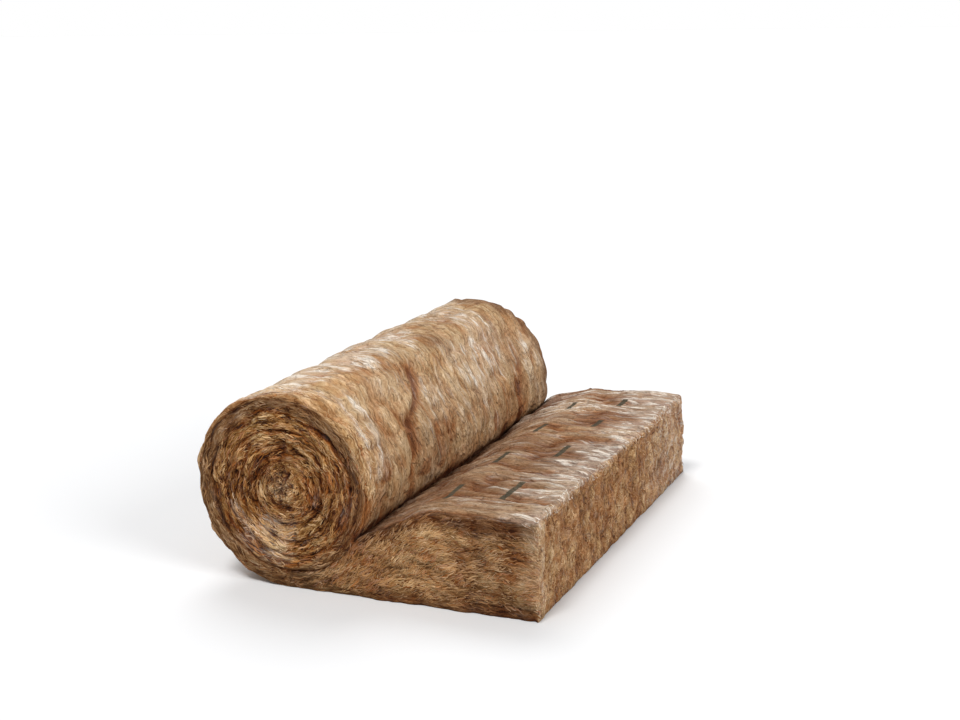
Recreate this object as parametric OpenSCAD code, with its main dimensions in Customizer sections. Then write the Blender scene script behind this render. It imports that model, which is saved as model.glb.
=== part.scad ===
// A roll of mineral wool insulation blanket, partly unrolled, lying on its side on a level floor.
// The blanket is one piece. Its wound part is a spiral of pressed turns along Y. Its outer turn runs
// out along +X as a tail, which rests flat on the floor and swells there to the blanket's free thickness.
// Millimetres, +Z up, origin at the centre of the whole outline, on the floor.

/* [Blanket] */
// Width of the blanket, which is the length of the roll
blanket_w = 1200; // [600:10:1500]
// Thickness of the blanket where it lies free
loose_t = 240; // [200:2:300]
// Thickness of one turn, pressed together by the winding
turn_t = 40; // [30:1:50]

/* [Roll] */
// Radius of the outer turn where it comes down onto the floor
roll_r = 245; // [200:1:300]
// Radius of the closed bud at the roll's centre, where the turns begin
bud_r = 18; // [12:1:30]

/* [Tail] */
// Thickness of the tail at the seam, where the roll still presses on it
seam_t = 148; // [120:1:180]
// Slope of the tail's top between the seam and its flat part
ramp_angle = 28; // [20:1:40]
// Radius that rounds the ramp into the flat part
ramp_blend_r = 200; // [40:5:250]
// Length of the tail's flat top, up to the cut end
flat_len = 240; // [120:5:800]

/* [Turn gaps] */
// Width of the gap that shows between two turns on the roll's ends
gap_w = 5; // [3:0.5:8]
// Depth of that gap
gap_depth = 12; // [4:1:30]

/* [Hidden] */
$fn = 96;

// The spiral is drawn with quarter turns about four centres, a quarter of a turn's thickness apart.
// Quarter 0 runs from the floor to the left, quarter 1 from there to the top, and so on, clockwise.
centre_step = turn_t / 4;
quarter_count = floor((roll_r - bud_r) / centre_step);
function quarter_r(k) = roll_r - k * centre_step;
function quarter_x(k) = (k % 4 == 1 || k % 4 == 2) ? -centre_step : 0;
function quarter_z(k) = roll_r + ((k % 4 >= 2) ? centre_step : 0);

// The seam is where the tail's top meets the outer turn, on quarter 3.
seam_x = sqrt(pow(quarter_r(3), 2) - pow(quarter_z(3) - seam_t, 2));

// The ramp climbs from the seam and is rounded into the flat top.
rise = loose_t - seam_t;
blend_r = min(ramp_blend_r, rise / (1 - cos(ramp_angle)));
blend_x = seam_x + (rise - blend_r * (1 - cos(ramp_angle))) / tan(ramp_angle);
flat_x = blend_x + blend_r * sin(ramp_angle);
blend_points = 8;
tail_end_x = flat_x + flat_len;

// Middle of the outline along X, which becomes the origin.
middle_x = (tail_end_x - roll_r) / 2;

// A quarter disc of the spiral's k-th quarter turn.
module quarter_disc(k, r) {
    translate([quarter_x(k), quarter_z(k)])
        intersection() {
            circle(r);
            rotate(180 - 90 * (k % 4)) square(2 * roll_r);
        }
}

// Section of the wound part: the outer turn's four quarters, and the square between their centres.
module roll_section() {
    for (k = [0 : 3]) quarter_disc(k, quarter_r(k));
    translate([-centre_step, roll_r]) square(centre_step);
}

// Section of the tail, with its ramp rounded into its flat top. Its root runs in under the roll.
module tail_section() {
    polygon(concat(
        [[0, 0], [tail_end_x, 0], [tail_end_x, loose_t]],
        [for (i = [0 : blend_points])
            let (a = ramp_angle * i / blend_points)
            [flat_x - blend_r * sin(a), loose_t - blend_r * (1 - cos(a))]],
        [[seam_x, seam_t], [0, seam_t]]
    ));
}

// The gap line between the turns: the outer turn's own spiral, carried on inwards from the seam.
module gap_section() {
    for (k = [3 : quarter_count - 1])
        intersection() {
            difference() {
                quarter_disc(k, quarter_r(k) + gap_w / 2);
                quarter_disc(k, quarter_r(k) - gap_w / 2);
            }
            // The first quarter's gap starts at the seam, so that the barrel above it stays whole.
            translate([-2 * roll_r, 0])
                square([4 * roll_r, k == 3 ? seam_t : 3 * roll_r]);
        }
}

// Stands a section up in the XZ plane and runs it along Y from y0 over the given length.
module along_roll(y0, length) {
    translate([-middle_x, y0 + length, 0])
        rotate([90, 0, 0])
            linear_extrude(height = length) children();
}

module wool_blanket() {
    color("tan")
        difference() {
            along_roll(-blanket_w / 2, blanket_w)
                union() {
                    roll_section();
                    tail_section();
                }
            along_roll(-blanket_w / 2 - 1, gap_depth + 1) gap_section();
            along_roll(blanket_w / 2 - gap_depth, gap_depth + 1) gap_section();
        }
}

wool_blanket();
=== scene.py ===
# %% [markdown]
# # A partly unrolled roll of mineral wool blanket
# The object is one long blanket of brown mineral wool. Most of it is still wound into a roll that
# lies on its side, and its outer end lies flat on the floor as a thick tail.
# The CAD model gives its exact size as a plain solid. This script builds the looks around it: one
# closed wool surface that follows the same spiral, many thousand small locks of fibre lying on it,
# and materials for the light skin of the blanket and for its dark, layered cut sides.

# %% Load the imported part
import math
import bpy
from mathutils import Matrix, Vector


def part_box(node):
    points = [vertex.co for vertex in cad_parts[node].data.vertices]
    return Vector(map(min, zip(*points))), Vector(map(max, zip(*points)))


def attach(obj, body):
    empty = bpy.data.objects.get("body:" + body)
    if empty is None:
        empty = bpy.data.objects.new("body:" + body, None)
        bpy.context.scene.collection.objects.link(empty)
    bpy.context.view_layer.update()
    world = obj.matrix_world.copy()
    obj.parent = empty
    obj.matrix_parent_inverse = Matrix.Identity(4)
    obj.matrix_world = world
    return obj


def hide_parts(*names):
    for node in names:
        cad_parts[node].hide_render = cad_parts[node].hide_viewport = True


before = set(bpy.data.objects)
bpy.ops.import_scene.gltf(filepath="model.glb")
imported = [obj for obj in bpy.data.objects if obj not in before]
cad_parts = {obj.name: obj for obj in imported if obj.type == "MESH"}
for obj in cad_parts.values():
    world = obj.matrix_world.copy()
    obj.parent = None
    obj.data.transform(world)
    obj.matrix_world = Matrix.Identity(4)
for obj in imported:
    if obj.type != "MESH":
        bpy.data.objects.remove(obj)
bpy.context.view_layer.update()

# %% Tools used below
from types import SimpleNamespace

import bpy
import numpy as np
from mathutils import Matrix, Vector

MM = 0.001
TURN = 2 * math.pi

# %% [markdown]
# ## The sizes of the blanket
# A visual model must never drift away from the part it dresses. So the driving sizes are read from
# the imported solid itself, and only what can't be measured there is repeated as a value.

# %% Sizes, in metres
low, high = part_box("wool_blanket")
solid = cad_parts["wool_blanket"].data
corners = np.empty(len(solid.vertices) * 3, np.float32)
solid.vertices.foreach_get("co", corners)
corners = corners.reshape(-1, 3)

# Half the blanket's width, and its thickness where it lies free and where it is wound
half_width = high.y
loose_t = float(corners[corners[:, 0] > high.x - MM, 2].max())
turn_t = 40 * MM

# The roll's radius at its lowest point, where that point is, and how far the tail reaches beyond it
roll_r = (high.z + turn_t / 4) / 2
roll_x = low.x + roll_r
tail_len = high.x - roll_x

# Height of the seam, and the slope by which the tail rises from it to its free thickness
seam_t = 148 * MM
ramp_angle = math.radians(28)
ramp_blend_r = 200 * MM
print(f"roll radius {roll_r:.3f}, half width {half_width:.3f}")
print(f"tail {tail_len:.3f} long and {loose_t:.3f} thick")

# %% [markdown]
# ## The spiral
# A wound blanket is an Archimedean spiral: each turn lies one blanket thickness inside the last.
# The CAD solid draws it with quarter circles about four centres, which is how a draughtsman does it
# by hand. Using the same rule here makes both models agree to a fraction of a millimetre.
# An angle of 0 is the lowest point of the roll, and angles grow clockwise, in towards the centre.


# %% Points of the spiral
def spiral(angle):
    """Quarter k of the spiral is an arc about its own centre, of radius roll_r - k * turn_t / 4.
    Returns section points (x, z), x counted from the roll's lowest point."""
    step = turn_t / 4
    k = np.floor(angle / (TURN / 4) + 1e-9)
    corner = np.mod(k, 4)
    radius = roll_r - k * step
    x = np.where((corner == 1) | (corner == 2), -step, 0.0)
    z = roll_r + np.where(corner >= 2, step, 0.0)
    return np.stack([x - radius * np.sin(angle), z - radius * np.cos(angle)], -1)


columns_a_turn = 240
angle_step = TURN / columns_a_turn
seam_angle = 0.75 * TURN + math.asin((roll_r + turn_t / 4 - seam_t) / (roll_r - 0.75 * turn_t))
seam_i = round(seam_angle / angle_step)
notch_columns = 3
tip_i = seam_i + notch_columns
print("the tail leaves the roll at column", seam_i, "of", columns_a_turn)

# %% [markdown]
# ## The outline of the section
# Cut across the roll, the blanket's outside is one line: round the barrel, down into the narrow
# notch where the barrel presses on the tail, out again along the tail's top, and down its cut end.
# The notch is deeper than it looks from outside, because two soft surfaces press together there.


# %% The tail's top line
def tail_top(x):
    """Height of the tail's top: a straight ramp from the seam, an arc that rounds it off, then flat."""
    seam_x, seam_z = spiral(np.array(seam_i * angle_step))
    rise = loose_t - seam_z
    sunk = ramp_blend_r * (1 - math.cos(ramp_angle))
    blend_x = seam_x + (rise - sunk) / math.tan(ramp_angle)
    flat_x = blend_x + ramp_blend_r * math.sin(ramp_angle)
    ramp = seam_z + (x - seam_x) * math.tan(ramp_angle)
    reach = np.clip(flat_x - x, 0, ramp_blend_r)
    arc = loose_t - ramp_blend_r + np.sqrt(ramp_blend_r**2 - reach**2)
    return np.where(x < blend_x, ramp, np.where(x < flat_x, arc, loose_t))


def along(points):
    """Running length along a line of points."""
    return np.concatenate([[0], np.cumsum(np.linalg.norm(np.diff(points, axis=0), axis=1))])


def resample(points, count):
    """The same line with count points, evenly spaced along it."""
    length = along(points)
    wanted = np.linspace(0, length[-1], count)
    return np.stack([np.interp(wanted, length, points[:, k]) for k in range(2)], -1)


# %% The whole outline, split where its patches meet
barrel_line = spiral(np.arange(tip_i + 1) * angle_step)
contact_line = spiral(np.arange(tip_i, columns_a_turn + 1) * angle_step)
notch_line = barrel_line[: seam_i - 1 : -1]

# The tail's upper edge is rounded. The middle of its arc parts the top from the cut end.
edge_r = 14 * MM
edge_steps = 12
quarter = np.radians(np.linspace(90, 0, edge_steps + 1))
edge_x = tail_len - edge_r + edge_r * np.cos(quarter)
edge_z = loose_t - edge_r + edge_r * np.sin(quarter)
edge_arc = np.stack([edge_x, edge_z], -1)
edge_middle = edge_steps // 2
fine_steps = 400
top_x = np.linspace(notch_line[-1, 0], tail_len - edge_r, fine_steps)
top_dense = np.concatenate([np.stack([top_x, tail_top(top_x)], -1), edge_arc[1 : edge_middle + 1]])
cut_dense = np.concatenate([edge_arc[edge_middle:], [[tail_len, 0.0]]])
top_columns = 82
cut_rows = 40
top_line = np.concatenate([notch_line[:-1], resample(top_dense, top_columns + 1)])
cut_line = resample(cut_dense, cut_rows + 1)
tail_line = np.concatenate([top_line, cut_line[1:]])
print("outline points:", len(barrel_line), "on the barrel,", len(tail_line), "on the tail")


# %% Which way the outline faces
def facing(points):
    """Outward normal of the outline: the direction of travel turned a quarter to the left."""
    travel = np.gradient(points, axis=0)
    normal = np.stack([-travel[:, 1], travel[:, 0]], -1)
    return normal / np.linalg.norm(normal, axis=1, keepdims=True)


# Inside the notch both lines draw back a little from each other, and meet again at its tip.
notch_gap = 2.5 * MM
fade_columns = 4.0
barrel_i = np.arange(tip_i + 1)
tail_i = np.arange(len(tail_line))
barrel_normal = facing(barrel_line)
tail_normal = facing(tail_line)
barrel_open = np.clip((tip_i - barrel_i) / notch_columns, 0, 1)
tail_open = np.clip(tail_i / notch_columns, 0, 1)
barrel_near = np.exp(-((seam_i - barrel_i) / fade_columns).clip(0) ** 2)
tail_near = np.exp(-((tail_i - notch_columns) / fade_columns).clip(0) ** 2)
barrel_line = barrel_line - barrel_normal * (notch_gap * barrel_open * barrel_near)[:, None]
tail_line = tail_line - tail_normal * (notch_gap * tail_open * tail_near)[:, None]

# %% [markdown]
# ## Noise
# Wool has no straight line in it. Every wave, lump and crease below comes from one small tool:
# value noise, random numbers on the corners of a grid, blended smoothly in between. Stretching its
# coordinates along one axis turns round blobs into the long ridges that fibres make.


# %% Value noise on whole arrays
def lattice(i, j, k, seed):
    """A repeatable random number from -1 to 1 for each whole-numbered corner. Large odd numbers mix the
    bits of i, j, k and seed, and & 0xFFFFFFFF keeps 32 of them."""
    mixed = (i * 374761393 + j * 668265263 + k * 1274126177 + seed * 974711) & 0xFFFFFFFF
    mixed = ((mixed ^ (mixed >> 13)) * 1274126177) & 0xFFFFFFFF
    mixed = ((mixed ^ (mixed >> 16)) * 2246822519) & 0xFFFFFFFF
    return (mixed ^ (mixed >> 15)) / 2147483647.5 - 1


def fade_curve(t):
    """From 0 to 1 by 6 t^5 - 15 t^4 + 10 t^3, which starts and ends without a bend."""
    return t * t * t * (t * (t * 6 - 15) + 10)


def noise(x, y, z, seed):
    """Blends the eight corner numbers round each point by how near each corner is."""
    places = np.broadcast_arrays(x, y, z)
    cell = [np.floor(p).astype(np.int64) for p in places]
    fade = [fade_curve(p - c) for p, c in zip(places, cell)]
    total = 0
    for corner in range(8):
        bit = [(corner >> axis) & 1 for axis in range(3)]
        weight = 1
        for axis in range(3):
            weight = weight * (fade[axis] if bit[axis] else 1 - fade[axis])
        total = total + weight * lattice(*(c + b for c, b in zip(cell, bit)), seed)
    return total


# %% Patterns made from noise
def layers(x, y, z, seed, count=3):
    """Adds finer and weaker copies of the noise, each half as large as the last."""
    return sum(noise(x * 2**n, y * 2**n, z * 2**n, seed + n) * 0.5**n for n in range(count))


def pillows(x, y, z, seed):
    """Soft mounds from 0 to 1 that meet in sharp valleys, as cloth does between its folds."""
    return np.minimum(np.abs(noise(x, y, z, seed)) * 2.2, 1) ** 0.7


def crease(x, y, z, seed, sharp=3.0):
    """1 along thin wandering lines, where the noise passes through zero, and 0 away from them."""
    return (1 - np.abs(noise(x, y, z, seed))) ** sharp


def smooth(low_end, high_end, value):
    """0 below low_end, 1 above high_end, and a smooth step between."""
    t = np.clip((value - low_end) / (high_end - low_end), 0, 1)
    return t * t * (3 - 2 * t)


# %% [markdown]
# ## Relief of the skin
# The outside of the blanket is a thin skin of felted fibres. On the barrel it is wound tight, so it
# shows lumps, soft billows, wrinkles that run round the roll, and three folds. On the tail it has
# sprung back and lies in pleats. The cut end has no skin and shows coarse tufts. Each of these is
# worked out as a height over the outline, together with five traits that the materials read: how
# deep in a valley the point lies, which the colour darkens as painted shade; how felted it is; how
# pale, from pale fibres and from painted highlights on crests and edges; how shaded; and how light
# or dark its fibres are. Places are s, the running length along the outline, and y, along the roll.
# Every pattern below divides them by the size of its waves in metres, and its fourth value is a seed.

# %% Running lengths and small tools
barrel_length = along(barrel_line)
tail_length = along(tail_line)
seam_s = barrel_length[seam_i]
flat_edge = tail_length[len(top_line) - 1]


def dot(value, centre, width):
    """1 at the centre, falling off as a bell on both sides."""
    return np.exp(-(((value - centre) / width) ** 2))


def drift(s, y):
    """How far the fibres have moved along the roll at s: one bend over the shoulder, then slowly on.
    Near the front end they run straight round."""
    bend = 0.14 * smooth(1.0, 0.78, s) + 0.2 * (s - 1.0)
    return bend * smooth(-0.58, -0.22, y)


def slant(s, y):
    """The place across the fibres, which stays the same while one follows a fibre."""
    return y - drift(s, y)


# %% Folds of the barrel: points (s, y) of each one's line, its strength and its width
folds = [
    ([(0.86, -0.115), (0.93, -0.175), (0.96, -0.22), (1.0, -0.30)], 1.0, 0.036),
    ([(0.99, -0.31), (1.04, -0.315), (1.08, -0.32), (1.14, -0.37)], 0.9, 0.034),
    ([(1.06, 0.37), (1.12, 0.385), (1.19, 0.40), (1.24, 0.40)], 0.7, 0.03),
]


def fold_height(s, y, line, strength, width):
    """A fold along the line y = f(s): a bulge on its near side that drops into a wide hollow. Returns
    its height, and how dark it is: painted shadow in the hollow beside the bulge."""
    line_s, line_y = np.array(line).T
    d = (y - np.interp(s, line_s, line_y) - 0.012 * noise(s / 0.03, 0.5, 0.5, 5)) / width
    share = strength * smooth(-0.03, 0.03, s - line_s[0]) * smooth(-0.03, 0.03, line_s[-1] - s)
    bulge = (1 - smooth(-0.9, 0.5, d)) * dot(d, 0, 3.0)
    hollow = smooth(-0.9, 0.3, d) * dot(d, 0.2, 1.6)
    dark = 0.65 * dot(d, 0.75, 0.85) + 0.5 * dot(d, 0.6, 0.35)
    return (7 * MM * bulge - 12 * MM * hollow) * share, dark * share


# %% Patterns of the barrel
def barrel_patterns(s, y):
    """The patterns that both the height and the traits of the barrel are made of. across is the place
    across the fibres, low_part is 1 near the seam, and to_end is how far away the roll's end is."""
    across = slant(s, y) + 0.01 * noise(s / 0.11, y / 0.11, 9.5, 10)
    pleat = crease(s / 0.13, across / 0.085, 3.3, 17, 3.0)
    aside = y + 0.456 + 0.33 * (s - 0.896)
    lines = dot(aside, 0, 0.014) + 0.7 * dot(aside, -0.055, 0.010)
    lines = lines * smooth(0.84, 0.88, s) * smooth(1.09, 1.04, s)
    return SimpleNamespace(
        across=across,
        wrinkle=crease(s / 0.14, across / 0.075, 2.5, 12, 5.0),
        ribs=layers(s / 0.10, across / 0.026, 4.5, 13, 2),
        pleat=pleat * smooth(-0.6, 0.2, noise(s / 0.2, across / 0.1, 4.3, 46)),
        billow=pillows(s / 0.075, across / 0.038, 8.2, 51),
        lines=lines * smooth(-0.6, 0.2, noise(s / 0.035, y / 0.03, 2, 9)),
        low_part=smooth(-0.20, -0.02, s - seam_s),
        to_end=half_width - np.abs(y),
    )


# %% Height of the barrel
def barrel_height(s, y, p, bulges):
    """Lumps, billows, wrinkles, ribs, pleats and folds, and a swelling near each end. All of them fade
    out where the roll meets the floor, and most of the way towards the seam."""
    lumps = 5 * MM * layers(s / 0.22, y / 0.22, 0.5, 11, 2)
    lumps = lumps + 9 * MM * (pillows(s / 0.12, p.across / 0.13, 6.5, 8) - 0.6)
    height = lumps + 5 * MM * (p.billow - 0.7) + 4 * MM * p.lines - 6 * MM * p.wrinkle
    height = height + 3 * MM * p.ribs + 7 * MM * p.pleat
    for bulge in bulges:
        height = height + bulge
    grown = 7 * MM * dot(s, 0.62, 0.14) * smooth(-0.2, -0.5, y)
    grown = grown + 9 * MM * smooth(0.35, 0.55, y) * dot(s, 0.98, 0.2)
    free = smooth(0.0, 0.22, s) * (1 - 0.7 * smooth(-0.05, 0.0, s - seam_s))
    return (height + grown) * free


# %% Traits of the barrel
def barrel_valley(s, p, fold_dark):
    """Painted shade: dark in wrinkles, between billows, in the folds, in pits low down, and above all
    at the seam and just above it.
    """
    seam_shade = 0.7 * smooth(-0.024, -0.002, s - seam_s)
    above = smooth(-0.11, -0.02, s - seam_s)
    pits = smooth(0.1, 0.5, noise(s / 0.06, p.across / 0.045, 7.5, 15)) * smooth(-0.24, -0.1, s - seam_s)
    valley = 0.34 * p.wrinkle**2 * (1 - p.pleat) + 0.30 * (1 - p.billow) ** 2 + 0.85 * fold_dark
    return np.clip(valley + seam_shade + 0.22 * above + 0.4 * pits, 0, 1)


def barrel_pale(s, y, p, edge):
    """Pale in streaks beyond the folds and along a few lines, with painted highlight on pleats and
    billows, and most on the crown.
    """
    beyond = smooth(-0.24, -0.12, y + 0.3 * (s - 0.95))
    streak = beyond * smooth(-0.5, 0.4, noise(s / 0.16, y / 0.13, 5, 18))
    # The crown is a painted highlight: a bright edge along the top of the barrel, where the light falls.
    crown = smooth(0.82, 0.74, s + 0.05 * layers(s / 0.06, p.across / 0.035, 6, 7)) * smooth(0.45, 0.62, s)
    crown = crown * (0.45 + 0.55 * smooth(-0.4, 0.5, layers(s / 0.07, p.across / 0.03, 3.7, 49)))
    crown = crown * smooth(0.25, -0.05, y + 0.1 * noise(0.5, y / 0.1, 2.5, 6))
    crown = crown * smooth(0.015, 0.05, p.to_end)
    far = 0.5 + 0.7 * smooth(0.0, 0.3, y)
    # Pale streaks, and painted highlight on the crests of pleats and billows.
    pale = far * (streak * (0.5 + 0.5 * p.pleat) + 0.5 * p.pleat) * (0.5 + 0.6 * p.billow)
    pale = pale * (1 - edge) * (1 - p.low_part)
    return np.clip(pale + 1.4 * p.lines + 1.25 * crown, 0, 1.25)


def barrel_relief(s, y):
    """The barrel's height, valley, felt, pale, shade and tone, in the last axis of one array."""
    p = barrel_patterns(s, y)
    bulges, darks = zip(*(fold_height(s, y, *fold) for fold in folds))
    edge = smooth(0.08, 0.02, p.to_end + 0.016 * noise(s / 0.05, 0.5, 3.5, 16))
    fringe = smooth(0.10, 0.03, p.to_end + 0.03 * noise(s / 0.03, 0.5, 1.5, 14)) * (y < 0)
    valley = barrel_valley(s, p, np.clip(sum(darks), 0, 1))
    far_dark = dot(s, 0.84, 0.04) * dot(y, 0.115, 0.06)
    shade = 1.1 * edge * (y > 0) + 0.8 * far_dark
    shade = shade + 0.3 * smooth(0.2, 0.7, noise(s / 0.16, y / 0.2, 8.5, 19))
    tone = 0.54 + 0.10 * p.ribs + 0.10 * noise(s / 0.2, p.across / 0.08, 3.5, 20)
    tone = tone + 0.16 * fringe + 0.12 * p.low_part
    height = barrel_height(s, y, p, bulges)
    pale = barrel_pale(s, y, p, edge)
    return np.stack([height, valley, 1 - 0.55 * fringe, pale, np.clip(shade, 0, 1), tone], -1)


# %% Where the cutting marks lie on the tail
# For each row its X, and where each dash starts and ends, in mm from the near end of the roll
mark_rows = {
    174 * MM: [(98, 212), (408, 510), (691, 789), (944, 1031)],
    308 * MM: [(128, 275), (490, 606), (779, 866), (1005, 1084)],
}


def near_marks(s):
    """1 beside a row of printed cutting marks, where the ink holds the fibres down, and 0 elsewhere."""
    x = np.interp(s, tail_length, tail_line[:, 0]) + roll_x
    return sum(dot(x, row, 26 * MM) for row in mark_rows)


# %% Patterns and height of the tail
def tail_patterns(s, y):
    """Mounds and ribs of the tail's top, tufts and pits of its cut end, and where each of them is."""
    bent = y + 0.022 * noise(s / 0.16, y / 0.2, 1.5, 21)
    return SimpleNamespace(
        mound=pillows(s / 0.20, bent / 0.056, 2.5, 22),
        low_mound=pillows(s / 0.11, bent / 0.028, 6.5, 23),
        ribs=layers(s / 0.07, bent / 0.012, 7.5, 25, 2),
        tufts=layers(s / 0.040, y / 0.030, 3.5, 26, 3),
        pit=crease(s / 0.05, y / 0.035, 8.5, 27),
        wrap=smooth(0.044, 0.036, y + half_width - 0.014 * noise(s / 0.04, 0.5, 0.5, 28)),
        cut=smooth(-0.008, 0.008, s - flat_edge),
    )


def tail_height(s, y, p):
    """Soft mounds with fine ribs on top, and tufts with pits on the cut end. wrap is the skin that
    curls round the near upright corner of the cut end."""
    swell = 4 * MM * layers(s / 0.2, y / 0.13, 0.5, 24, 2)
    raised = 20 * MM * dot(s, 0.09, 0.07) * smooth(0.2, 0.58, y)
    mounds = 12 * MM * (p.mound - 0.7) + 6 * MM * (p.low_mound - 0.7)
    top = swell + raised + (1.6 * MM * p.ribs + mounds) * (1 - 0.8 * near_marks(s))
    top = top * smooth(0.0, 0.06, s)
    end = (6.5 * MM * p.tufts - 4 * MM * p.pit) * (1 - 0.7 * p.wrap) + 5 * MM * p.wrap
    end = end * (0.3 + 0.7 * smooth(0.0, 0.05, tail_length[-1] - s))
    return top * (1 - p.cut) + end * p.cut


# %% Traits of the tail
def tail_pale(s, y, p):
    """Pale in a ragged band along the upper edge, on ribs, and more and more towards the far end. The
    band is pale fibre tips with a painted highlight, and the pale on ribs and mounds is painted
    highlight on their crests.
    """
    to_edge = flat_edge - s
    ragged = 0.12 * noise(s / 0.2, y / 0.045, 4.5, 29) + 0.04 * noise(s / 0.1, y / 0.016, 4.5, 28)
    inwards = to_edge + ragged - 0.04 * smooth(-0.5, -0.1, y)
    # The band along the cut edge: pale fibre tips, and a painted highlight where the light catches the
    # edge.
    tips = smooth(0.12, 0.03, inwards) * smooth(-0.012, 0.0, to_edge)
    ridge = smooth(0.1, 0.7, p.ribs) * smooth(0.1, 0.3, s)
    spotted = smooth(-0.4, 0.4, noise(s / 0.15, y / 0.1, 6.5, 30))
    # Painted highlight on the crests of ribs and mounds, and paler towards the far end.
    pale = 0.8 * tips + 0.5 * ridge * p.mound * spotted * (1 - p.cut)
    pale = pale + (0.10 + 0.75 * smooth(0.12, 0.45, y)) * p.mound * (1 - p.cut)
    pale = pale + (0.05 + 0.36 * smooth(0.1, 0.5, y) + 0.12 * p.wrap) * p.cut
    return np.clip(pale, 0, 1)


def tail_relief(s, y):
    """The tail's height, valley, felt, pale, shade and tone, in the last axis of one array."""
    p = tail_patterns(s, y)
    # valley is painted shade: between the mounds, at the seam, and in the pits of the cut end.
    valley = 0.6 * (1 - p.mound) ** 2 + 0.5 * (1 - p.low_mound) ** 2 + 0.6 * smooth(0.022, 0.0, s)
    valley = np.clip(valley, 0, 1) * (1 - p.cut) + 0.4 * p.pit * p.cut * (1 - p.wrap)
    felt = (1 - 0.55 * p.cut) * (1 - p.wrap * p.cut) + 0.7 * p.wrap * p.cut
    shade = 0.5 * smooth(0.25, 0.05, s) + 0.3 * smooth(-0.2, 0.5, noise(s / 0.12, y / 0.12, 9.5, 31))
    shade = shade + 0.3 * smooth(0.1, -0.1, y) + 0.25 * dot(y, 0.02, 0.16)
    shade = np.clip(shade + 0.38, 0, 1) * (1 - p.cut)
    skin_tone = 0.14 * p.ribs + 0.08 * (p.mound - 0.6)
    cut_tone = 0.03 + 0.15 * p.tufts + 0.18 * noise(s / 0.07, y / 0.09, 2.5, 32)
    tone = 0.5 + 0.01 * p.cut + skin_tone * (1 - p.cut) + cut_tone * p.cut
    return np.stack([tail_height(s, y, p), valley, felt, tail_pale(s, y, p), shade, tone], -1)


# %% [markdown]
# ## Relief of the sides
# The roll's ends show the blanket cut across: thin crushed layers that follow the winding. Polar
# coordinates make noise follow a winding of any radius. On the tail's side the same layers have
# opened up again and run level. The outermost turn is smoother and darker, where film has pressed it.

# %% The wound end of the roll
hub = np.array([-turn_t / 8, roll_r + turn_t / 8])


def wound_end(x, z, side):
    """Layers, cracks and hollows as noise over the angle round the hub and the distance out from it,
    with a bud in the middle that stands proud. Height and traits, as for the skin."""
    around = np.arctan2(x - hub[0], z - hub[1])
    out = np.hypot(x - hub[0], z - hub[1]) + 9 * MM * layers(x / 0.06, z / 0.06, 2.5 * side, 30, 2)
    swirl = around + 0.45 * noise(x / 0.045, z / 0.045, side, 44)
    a = np.cos(swirl)
    b = np.sin(swirl) + 9 * side
    strata = layers(a * 3.2, b * 3.2, out / 0.0125, 31, 2)
    crack = crease(a * 2.4, b * 2.4, out / 0.019, 33, 8.0)
    crack = crack * smooth(-0.7, 0.2, noise(a * 3, b * 3, out / 0.05, 29))
    sunken = dot(around, 0.0, 0.45) + dot(around, 1.75, 0.5) + 0.6 * dot(around, -2.5, 0.5)
    hollow = dot(out, 0.088, 0.018) * sunken
    hollow = np.clip(hollow + 0.4 * smooth(0.2, 0.7, noise(a * 1.7, b * 1.7, out / 0.04, 32)), 0, 1)
    sway = 0.02 * noise(a * 1.5, b * 1.5, 0.5, 36)
    ring = smooth(0.020, 0.040, out - 0.165 - sway)
    ring_line = dot(out - sway, 0.187, 0.005) * smooth(-0.8, 0.0, noise(a * 2, b * 2, 0.5, 47))
    white = smooth(0.1, 0.5, noise(a * 1.3, b * 1.3, out / 0.03, 40)) * smooth(0.06, 0.09, out)
    white = white * smooth(-0.1, 0.5, -np.cos(around))
    heart = dot(out, 0.0, 0.028)
    height = 5 * MM * strata - 8 * MM * crack - 6 * MM * hollow
    height = height + 9 * MM * dot(out, 0.0, 0.05) - 5 * MM * dot(out, 0.1, 0.035)
    height = height * (1 - 0.5 * ring) - 5 * MM * ring_line
    # Painted shade: the valley trait darkens the cracks, the hollows and the line inside the outer ring,
    # and the hollows also lower the tone.
    valley = np.clip(0.9 * crack + 0.5 * hollow, 0, 1) * (1 - 0.7 * ring)
    valley = np.clip(valley + 0.8 * ring_line, 0, 1)
    pale = 0.28 * white * (1 - ring) + 0.15 * smooth(0.5, 1.0, strata) + 0.22 * heart
    tone = 0.055 + 0.31 * strata - 0.15 * hollow + 0.1 * heart
    return np.stack([height, valley, 0.3 * ring, pale, 0.8 * ring, tone], -1)


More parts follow.
